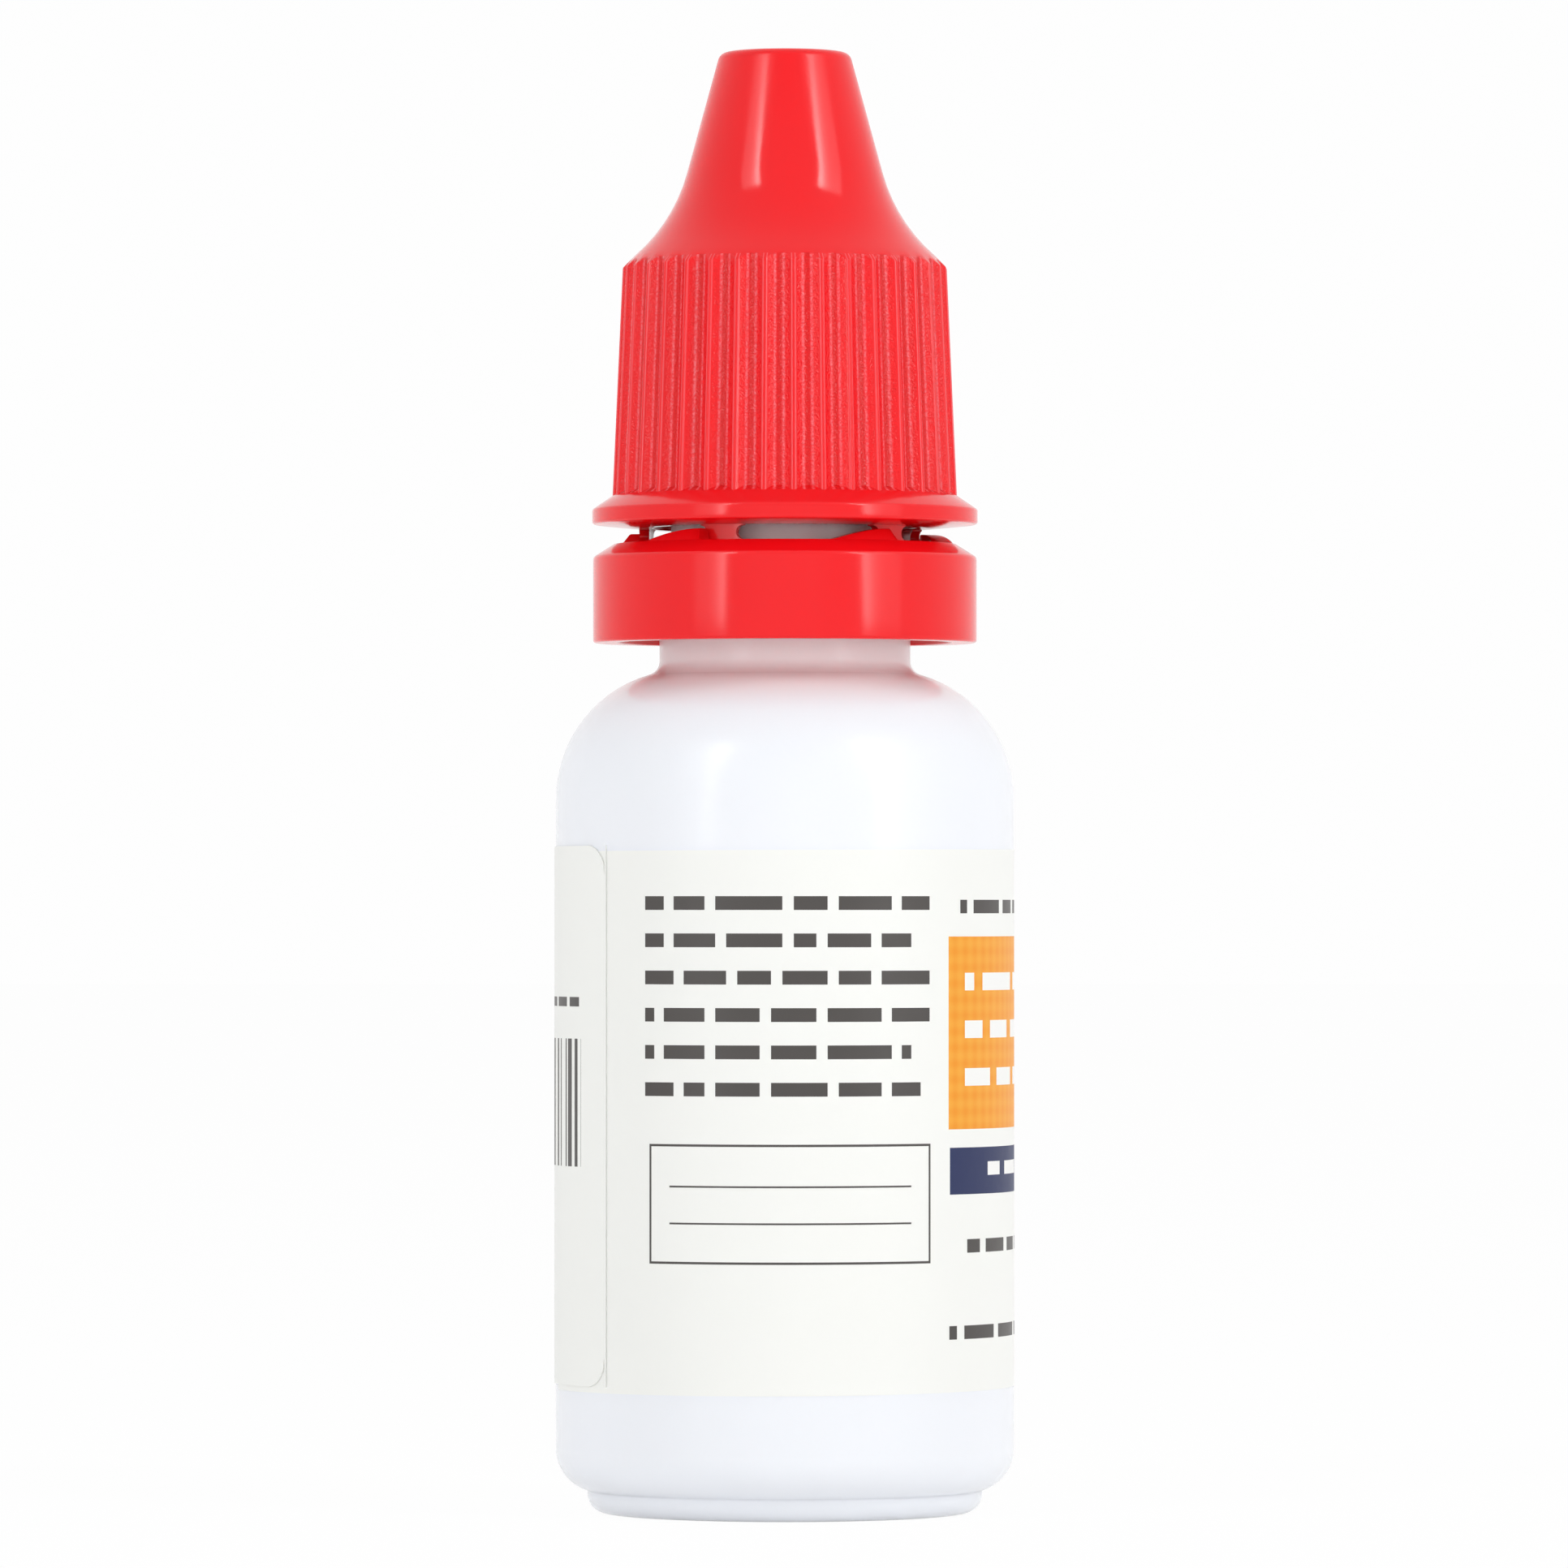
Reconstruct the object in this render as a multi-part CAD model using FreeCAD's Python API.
import FreeCAD, Part
import math
import os

# Eye drop bottle: squeeze bottle, dropper tip, ribbed screw cap with tamper ring, label and drops.
# Millimetres, +Z up, origin at the centre of the base.
# Angles are degrees from the front (-Y), positive towards the right (+X).

# Bottle body
body_radius = 12.65
wall = 0.9
foot_set_in = 1.75
foot_round = 1.1
foot_land = 1.2
recess_depth = 0.9
heel_height = 3.55
heel_radius = 2.4
body_top = 39.4
shoulder_radius = 7.1

# Bottle neck
neck_radius = 6.93
neck_fillet = 0.8
neck_wall = 1.0
neck_step = 0.63
bead_reach = 0.42
bead_height = 1.2
bead_rise = 3.0
neck_reach = 8.68

# Screw thread
pitch = 2.54
thread_depth = 0.8
thread_root_width = 1.5
thread_crest_width = 0.6
thread_turns = 1.5
thread_rise = 2.3
cap_thread_turns = 1.25
thread_fade_turns = 0.15
thread_end_share = 0.1
thread_sections_per_turn = 24
thread_clearance = 0.2
thread_sink = 0.15

# Dropper tip
plug_clearance = 0.02
plug_wall = 0.98
plug_length = 5.5
plug_chamfer = 0.4
tip_flange_reach = 0.8
tip_flange_height = 1.2
nozzle_height = 13.4
nozzle_base_radius = 3.9
nozzle_tip_radius = 1.75
nozzle_round = 0.75
nozzle_wall = 1.1
funnel_top_radius = 0.9
funnel_top_depth = 1.8
orifice_radius = 0.25
countersink_depth = 0.6

# Screw cap
hem_wall = 0.75
hem_drop = 0.24
flange_reach = 1.12
flange_edge = 0.8
flange_rise = 0.76
flange_round = 0.14
skirt_height = 12.6
skirt_draft = 0.56
crown_chamfer = 0.7
cap_wall = 1.29
flare_radius = 9.3
cone_taper = 15.4
cone_top_radius = 3.58
cone_round = 0.55
shell_wall = 1.15
crown_gap = 1.75
crown_wall = 1.3
pin_radius = 0.6
pin_end_radius = 0.2
pin_seat_clearance = 0.15

# Grip ribs of the cap
rib_count = 36
rib_phase = 2.9
rib_depth = 0.38
rib_land = 0.18
groove_floor = 0.46

# Tamper ring
ring_gap = 1.0
ring_height = 5.45
ring_set_in = 0.05
ring_wall = 1.4
ring_top_wall = 1.2
ring_bevel_reach = 1.15
ring_bevel_drop = 0.72
ring_round = 0.25
ring_hem_round = 0.12
ring_inner_wall = 0.75
ring_clearance = 0.15
lip_height = 0.9

# Ratchet ramps on the tamper ring
ramp_count = 5
ramp_end_angle = -30.4
ramp_sweep = 25.0
ramp_height = 0.64
ramp_width = 1.02
ramp_nose = 0.35
ramp_gap = 0.06
ramp_start_share = 0.02
ramp_sections = 7

# Frangible bridges between ring and cap
bridge_height = 0.87
bridge_angle = -25.8
bridge_width = 2.55
bridge_notch = 0.38

# Label
label_bottom = 7.05
label_height = 29.55
label_thickness = 0.09
label_gap = 0.01
label_start_angle = -80.0
label_end_angle = -50.0
label_step_sweep = 8.0
label_corner = 1.6

# Drops in the bottle
fill_level = 36.6
fill_clearance = 0.05

# Radii that follow from the fits
foot_radius = body_radius - foot_set_in
recess_radius = foot_radius - foot_round - foot_land
neck_root_radius = neck_radius - neck_step
neck_bore_radius = neck_root_radius - neck_wall
bead_radius = neck_radius + bead_reach
cap_bore_radius = neck_root_radius + thread_depth + thread_clearance
hem_radius = cap_bore_radius + hem_wall
skirt_top_radius = cap_bore_radius + cap_wall + rib_depth
skirt_bottom_radius = skirt_top_radius + skirt_draft
flange_radius = skirt_bottom_radius + flange_reach
ring_radius = flange_radius - ring_set_in
ring_bore_radius = bead_radius + ring_clearance
lip_radius = neck_radius + ring_clearance

# Shoulder fillet into the neck: a circle tangent to the shoulder's arc and to the neck
shoulder_centre = body_radius - shoulder_radius
fillet_centre = neck_radius + neck_fillet
fillet_distance = shoulder_radius + neck_fillet
neck_start = body_top + math.sqrt(fillet_distance**2 - (fillet_centre - shoulder_centre)**2)
fillet_share = shoulder_radius / fillet_distance
fillet_start_radius = shoulder_centre + (fillet_centre - shoulder_centre) * fillet_share
fillet_start_height = body_top + (neck_start - body_top) * fillet_share

# Heights that follow from the stack of pieces
ring_bottom = neck_start + ring_gap
ring_top = ring_bottom + ring_height
bead_bottom = ring_bottom + bead_rise
bead_top = bead_bottom + bead_height
cap_bottom = ring_top + bridge_height
thread_start = cap_bottom + thread_rise
neck_top = cap_bottom + neck_reach
tip_flange_top = neck_top + tip_flange_height
tip_top = tip_flange_top + nozzle_height
flange_bottom = cap_bottom + hem_drop
flange_top = flange_bottom + flange_edge
skirt_bottom = flange_top + flange_rise
skirt_top = skirt_bottom + skirt_height
crown_bottom = skirt_top + crown_chamfer
cavity_top = tip_top + crown_gap
cap_top = cavity_top + crown_wall
inner_heel_radius = heel_radius - wall
heel_centre = body_radius - heel_radius
floor = heel_height - inner_heel_radius
inner_radius = body_radius - wall
inner_shoulder_radius = shoulder_radius - wall

ORIGIN = FreeCAD.Vector(0, 0, 0)
UP = FreeCAD.Vector(0, 0, 1)


def polar(radius, angle, height):
    """A point at this radius and angle from the front."""
    turn = math.radians(angle)
    return FreeCAD.Vector(radius * math.sin(turn), -radius * math.cos(turn), height)


def turned(shape, angle):
    """A copy of a shape, turned about the bottle's axis from the front towards the right."""
    copy = shape.copy()
    copy.rotate(ORIGIN, UP, angle)
    return copy


class HalfSection:
    """An outline of radii and heights, drawn point by point, that is turned about the bottle's axis."""

    def __init__(self, radius, height):
        self.corners = [(FreeCAD.Vector(radius, 0, height), 0.0, None)]

    def line(self, radius, height, rounding=0.0):
        self.corners.append((FreeCAD.Vector(radius, 0, height), rounding, None))
        return self

    def arc(self, radius, height, centre_radius, centre_height):
        centre = FreeCAD.Vector(centre_radius, 0, centre_height)
        self.corners.append((FreeCAD.Vector(radius, 0, height), 0.0, centre))
        return self

    def edges(self):
        """Straight runs, arcs about a centre, and rounded corners between straight runs."""
        made = []
        count = len(self.corners)
        here = self.corners[0][0]
        for index in range(1, count + 1):
            point, rounding, centre = self.corners[index % count]
            if centre is not None:
                middle = (here - centre) + (point - centre)
                middle = centre + middle * ((point - centre).Length / middle.Length)
                made.append(Part.Arc(here, middle, point).toShape())
                here = point
            elif rounding:
                after = self.corners[(index + 1) % count][0]
                back = (here - point).normalize()
                ahead = (after - point).normalize()
                half_turn = back.getAngle(ahead) / 2
                cut = rounding / math.tan(half_turn)
                towards = (back + ahead).normalize()
                inside = point + towards * (rounding / math.sin(half_turn))
                start = point + back * cut
                end = point + ahead * cut
                made.append(Part.LineSegment(here, start).toShape())
                made.append(Part.Arc(start, inside - towards * rounding, end).toShape())
                here = end
            else:
                made.append(Part.LineSegment(here, point).toShape())
                here = point
        return made

    def solid(self):
        face = Part.Face(Part.Wire(self.edges()))
        return face.revolve(ORIGIN, UP, 360)


def closed_wire(points):
    return Part.makePolygon(points + points[:1])


def thread_ridge(root_radius, crest_radius, start_height, turns):
    """A thread's ridge on the cylinder root_radius, sunk into it, that swells up and fades out at its ends."""
    reach = crest_radius - root_radius
    inward = math.copysign(thread_sink, -reach)
    flank = (thread_root_width - thread_crest_width) / 2 / abs(reach)
    steps = round(turns * thread_sections_per_turn)
    sections = []
    for step in range(steps + 1):
        turn = turns * step / steps
        nearest_end = min(turn, turns - turn, thread_fade_turns)
        rise = math.sin(math.pi / 2 * nearest_end / thread_fade_turns)
        swell = thread_end_share + (1 - thread_end_share) * rise
        height = start_height + pitch * turn
        half_base = (thread_crest_width / 2 + (abs(reach) + thread_sink) * flank) * swell
        half_crest = thread_crest_width / 2 * swell
        base = root_radius + inward
        crest = root_radius + reach * swell
        angle = 360 * turn
        sections.append(closed_wire([
            polar(base, angle, height - half_base),
            polar(crest, angle, height - half_crest),
            polar(crest, angle, height + half_crest),
            polar(base, angle, height + half_base),
        ]))
    return Part.makeLoft(sections, True)


def make_bottle():
    outline = HalfSection(0, recess_depth)
    outline.line(recess_radius - recess_depth, recess_depth)
    outline.line(recess_radius, 0)
    outline.line(foot_radius - foot_round, 0)
    outline.arc(foot_radius, foot_round, foot_radius - foot_round, foot_round)
    heel_start = heel_height - math.sqrt(heel_radius**2 - (foot_radius - heel_centre)**2)
    outline.line(foot_radius, heel_start)
    outline.arc(body_radius, heel_height, heel_centre, heel_height)
    outline.line(body_radius, body_top)
    outline.arc(fillet_start_radius, fillet_start_height, shoulder_centre, body_top)
    outline.arc(neck_radius, neck_start, fillet_centre, neck_start)
    outline.line(neck_radius, bead_bottom)
    outline.line(bead_radius, bead_bottom + bead_reach)
    outline.line(bead_radius, bead_top - bead_reach, bead_reach / 2)
    outline.line(neck_root_radius, bead_top)
    outline.line(neck_root_radius, neck_top)
    outline.line(neck_bore_radius, neck_top)
    outline.line(neck_bore_radius, body_top + inner_shoulder_radius)
    outline.line(shoulder_centre, body_top + inner_shoulder_radius)
    outline.arc(inner_radius, body_top, shoulder_centre, body_top)
    outline.line(inner_radius, heel_height)
    outline.arc(heel_centre, floor, heel_centre, heel_height)
    outline.line(0, floor)
    crest_radius = neck_root_radius + thread_depth
    thread = thread_ridge(neck_root_radius, crest_radius, thread_start, thread_turns)
    return outline.solid().fuse(thread).removeSplitter()


def make_liquid():
    outline = HalfSection(0, floor + fill_clearance)
    outline.line(heel_centre, floor + fill_clearance)
    outline.arc(inner_radius - fill_clearance, heel_height, heel_centre, heel_height)
    outline.line(inner_radius - fill_clearance, fill_level)
    outline.line(0, fill_level)
    return outline.solid()


def make_dropper_tip():
    plug_radius = neck_bore_radius - plug_clearance
    plug_bore = plug_radius - plug_wall
    plug_bottom = neck_top - plug_length
    flange_reach_radius = plug_radius + tip_flange_reach
    funnel_top = tip_top - funnel_top_depth
    orifice_top = tip_top - countersink_depth
    outline = HalfSection(plug_bore, plug_bottom)
    outline.line(plug_radius - plug_chamfer, plug_bottom)
    outline.line(plug_radius, plug_bottom + plug_chamfer)
    outline.line(plug_radius, neck_top)
    outline.line(flange_reach_radius, neck_top)
    outline.line(flange_reach_radius, tip_flange_top, tip_flange_height / 4)
    outline.line(nozzle_base_radius, tip_flange_top, tip_flange_height / 2)
    outline.line(nozzle_tip_radius, tip_top, nozzle_round)
    outline.line(orifice_radius + countersink_depth, tip_top)
    outline.line(orifice_radius, orifice_top)
    outline.line(orifice_radius, funnel_top)
    outline.line(funnel_top_radius, funnel_top)
    outline.line(nozzle_base_radius - nozzle_wall, tip_flange_top)
    outline.line(plug_bore, neck_top)
    return outline.solid()


def flare_of_cone():
    """Centre of the flare's arc, tangent to the cone and ending at the crown of the ribs."""
    taper = math.radians(cone_taper)
    down = FreeCAD.Vector(math.sin(taper), 0, -math.cos(taper))
    outward = FreeCAD.Vector(math.cos(taper), 0, math.sin(taper))
    cone_top = FreeCAD.Vector(cone_top_radius, 0, cap_top)
    crown = FreeCAD.Vector(skirt_top_radius - crown_chamfer, 0, crown_bottom)
    offset = cone_top + outward * flare_radius - crown
    along = offset.dot(down)
    run = -along - math.sqrt(along**2 - offset.Length**2 + flare_radius**2)
    centre = cone_top + outward * flare_radius + down * run
    return centre, outward


def make_cap_outside():
    centre, outward = flare_of_cone()
    flare_start = centre - outward * flare_radius
    outline = HalfSection(0, cap_bottom)
    outline.line(hem_radius, cap_bottom)
    outline.line(flange_radius, flange_bottom, flange_round)
    outline.line(flange_radius, flange_top, flange_round)
    outline.line(skirt_bottom_radius, skirt_bottom)
    outline.line(skirt_top_radius, skirt_top)
    outline.line(skirt_top_radius - crown_chamfer, crown_bottom)
    outline.arc(flare_start.x, flare_start.z, centre.x, centre.z)
    outline.line(cone_top_radius, cap_top, cone_round)
    outline.line(0, cap_top)
    return outline.solid()


def make_grip_grooves():
    """The grooves between the grip ribs, which follow the skirt's draft and run out on the flange."""
    spacing = 360 / rib_count
    half_floor = math.degrees(groove_floor / skirt_bottom_radius) / 2
    half_mouth = (spacing - math.degrees(rib_land / skirt_bottom_radius)) / 2
    outside = flange_radius + crown_chamfer
    sections = []
    for height in (flange_bottom, crown_bottom + crown_chamfer):
        ridge = skirt_bottom_radius - skirt_draft * (height - skirt_bottom) / skirt_height
        valley = ridge * (1 - rib_depth / skirt_bottom_radius)
        sections.append(closed_wire([
            polar(valley, -half_floor, height),
            polar(ridge, -half_mouth, height),
            polar(outside, -half_mouth, height),
            polar(outside, half_mouth, height),
            polar(ridge, half_mouth, height),
            polar(valley, half_floor, height),
        ]))
    slope = flange_rise / flange_reach
    flange = HalfSection(0, flange_bottom)
    flange.line(outside, flange_bottom)
    flange.line(outside, flange_top - slope * (outside - flange_radius))
    flange.line(0, flange_top + slope * flange_radius)
    groove = Part.makeLoft(sections, True, True).cut(flange.solid())
    first = rib_phase + spacing / 2
    return [turned(groove, first + spacing * index) for index in range(rib_count)]


def make_cap_cavity():
    centre, outward = flare_of_cone()
    inner_flare = flare_radius + shell_wall
    inner_start = centre - outward * inner_flare
    bore_end = centre.z - math.sqrt(inner_flare**2 - (centre.x - cap_bore_radius)**2)
    narrowing = math.tan(math.radians(cone_taper))
    cavity_top_radius = inner_start.x - (cavity_top - inner_start.z) * narrowing
    pin_end = tip_top - countersink_depth + pin_seat_clearance
    outline = HalfSection(0, cap_bottom)
    outline.line(cap_bore_radius, cap_bottom)
    outline.line(cap_bore_radius, bore_end)
    outline.arc(inner_start.x, inner_start.z, centre.x, centre.z)
    outline.line(cavity_top_radius, cavity_top)
    outline.line(pin_radius, cavity_top)
    outline.line(pin_radius, pin_end + pin_radius - pin_end_radius)
    outline.line(pin_end_radius, pin_end)
    outline.line(0, pin_end)
    return outline.solid()


def make_screw_cap():
    shell = make_cap_outside().cut(make_grip_grooves())
    shell = shell.cut(make_cap_cavity())
    crest_radius = cap_bore_radius - thread_depth
    thread = thread_ridge(cap_bore_radius, crest_radius, thread_start - pitch / 2, cap_thread_turns)
    return shell.fuse(thread).removeSplitter()


def make_ramp():
    """One ratchet ramp, rising along a quarter sine to a steep end, with a rounded outer nose."""
    sections = []
    for section in range(ramp_sections):
        share = section / (ramp_sections - 1)
        angle = ramp_end_angle - ramp_sweep * (1 - share)
        inner = hem_radius + ramp_gap
        outer = inner + ramp_width - ramp_nose * share**3
        low = ring_top - ramp_height / 2
        rise = math.sin(math.pi / 2 * share)
        high = ring_top + ramp_height * (ramp_start_share + (1 - ramp_start_share) * rise)
        sections.append(closed_wire([
            polar(inner, angle, low),
            polar(outer, angle, low),
            polar(outer, angle, high),
            polar(inner, angle, high),
        ]))
    return Part.makeLoft(sections, True)


def make_tamper_ring():
    web_bottom = ring_top - ring_top_wall
    inner_wall_radius = ring_bore_radius + ring_inner_wall
    lip_top = bead_bottom - ring_clearance
    lip_bottom = lip_top - lip_height
    bevel_top_radius = ring_radius - ring_bevel_reach
    outline = HalfSection(ring_bore_radius, ring_top)
    outline.line(bevel_top_radius, ring_top)
    outline.line(ring_radius, ring_top - ring_bevel_drop, ring_round)
    outline.line(ring_radius, ring_bottom, ring_hem_round)
    outline.line(ring_radius - ring_wall, ring_bottom, ring_hem_round)
    outline.line(ring_radius - ring_wall, web_bottom)
    outline.line(inner_wall_radius, web_bottom)
    outline.line(inner_wall_radius, lip_bottom)
    outline.line(ring_bore_radius, lip_bottom)
    outline.line(lip_radius, lip_top)
    outline.line(ring_bore_radius, lip_top)
    ring = outline.solid()
    ramp = make_ramp()
    for index in range(ramp_count):
        ring = ring.fuse(turned(ramp, 360 / ramp_count * index))
    return ring.removeSplitter()


def make_frangible_bridges():
    """A band between ring and cap, cut by windows with rounded ends, which leaves the bridges."""
    band = HalfSection(ring_bore_radius, ring_top)
    band.line(hem_radius, ring_top)
    band.line(hem_radius, cap_bottom)
    band.line(ring_bore_radius, cap_bottom)
    half_width = math.degrees(bridge_width / 2 / hem_radius)
    spacing = 360 / ramp_count
    notch_height = (ring_top + cap_bottom) / 2
    bridges = []
    for index in range(ramp_count):
        centre = bridge_angle + spacing * index
        depth = 2 * hem_radius
        wedge = Part.Face(closed_wire([
            FreeCAD.Vector(0, 0, ring_top),
            polar(depth, centre - half_width, ring_top),
            polar(depth, centre + half_width, ring_top),
        ])).extrude(UP * bridge_height)
        bridge = band.solid().common(wedge)
        for side in (-half_width, half_width):
            outward = polar(1, centre + side, 0)
            notch = Part.makeCylinder(bridge_notch, depth, FreeCAD.Vector(0, 0, notch_height), outward)
            bridge = bridge.cut(notch)
        bridges.append(bridge.Solids[0])
    return Part.makeCompound(bridges)


def make_label():
    """A strip wound once round the body, whose end steps up over its start as a flap."""
    start = label_start_angle
    end = label_end_angle + 360
    step_end = start + 360 - label_step_sweep / 2
    step_start = step_end - label_step_sweep
    lower = body_radius + label_gap
    upper = lower + label_thickness + label_gap

    def bend(radius, first, last):
        middle = (first + last) / 2
        points = [polar(radius, angle, label_bottom) for angle in (first, middle, last)]
        return Part.Arc(*points).toShape()

    def straight(radius_1, angle_1, radius_2, angle_2):
        first = polar(radius_1, angle_1, label_bottom)
        last = polar(radius_2, angle_2, label_bottom)
        return Part.LineSegment(first, last).toShape()

    half_way = (start + step_start) / 2
    lower_skin = lower + label_thickness
    upper_skin = upper + label_thickness
    edges = [
        bend(lower, start, half_way),
        bend(lower, half_way, step_start),
        straight(lower, step_start, upper, step_end),
        bend(upper, step_end, end),
        straight(upper, end, upper_skin, end),
        bend(upper_skin, end, step_end),
        straight(upper_skin, step_end, lower_skin, step_start),
        bend(lower_skin, step_start, half_way),
        bend(lower_skin, half_way, start),
        straight(lower_skin, start, lower, start),
    ]
    strip = Part.Face(Part.Wire(edges)).extrude(UP * label_height)
    across = polar(1, end + 90, 0)
    outward = polar(1, end, 0)
    under_layer = Part.makeCylinder(upper - label_gap / 2, label_bottom + 2 * label_height)
    corner_seat = polar(body_radius, end, 0) - across * label_corner - outward * label_corner
    for edge_height, inward in ((label_bottom, 1), (label_bottom + label_height, -1)):
        centre = corner_seat + UP * (edge_height + inward * label_corner)
        rounding = Part.makeCylinder(label_corner, 3 * label_corner, centre, outward)
        square = Part.Face(closed_wire([
            centre,
            centre + across * 2 * label_corner,
            centre + across * 2 * label_corner - UP * 2 * inward * label_corner,
            centre - UP * 2 * inward * label_corner,
        ])).extrude(outward * 3 * label_corner)
        strip = strip.cut(square.cut(rounding).cut(under_layer))
    return strip.Solids[0]


pieces = {
    "bottle": make_bottle(),
    "dropper_tip": make_dropper_tip(),
    "screw_cap": make_screw_cap(),
    "tamper_ring": make_tamper_ring(),
    "frangible_bridges": make_frangible_bridges(),
    "label": make_label(),
    "liquid": make_liquid(),
}

os.makedirs("parts", exist_ok=True)
for name, shape in pieces.items():
    box = shape.BoundBox
    print(f"{name}: {len(shape.Solids)} solids, valid {shape.isValid()}, {shape.Volume:.1f} mm3, "
          f"z {box.ZMin:.2f} to {box.ZMax:.2f}, width {box.XLength:.2f}")
    shape.exportStep(f"parts/{name}.step")
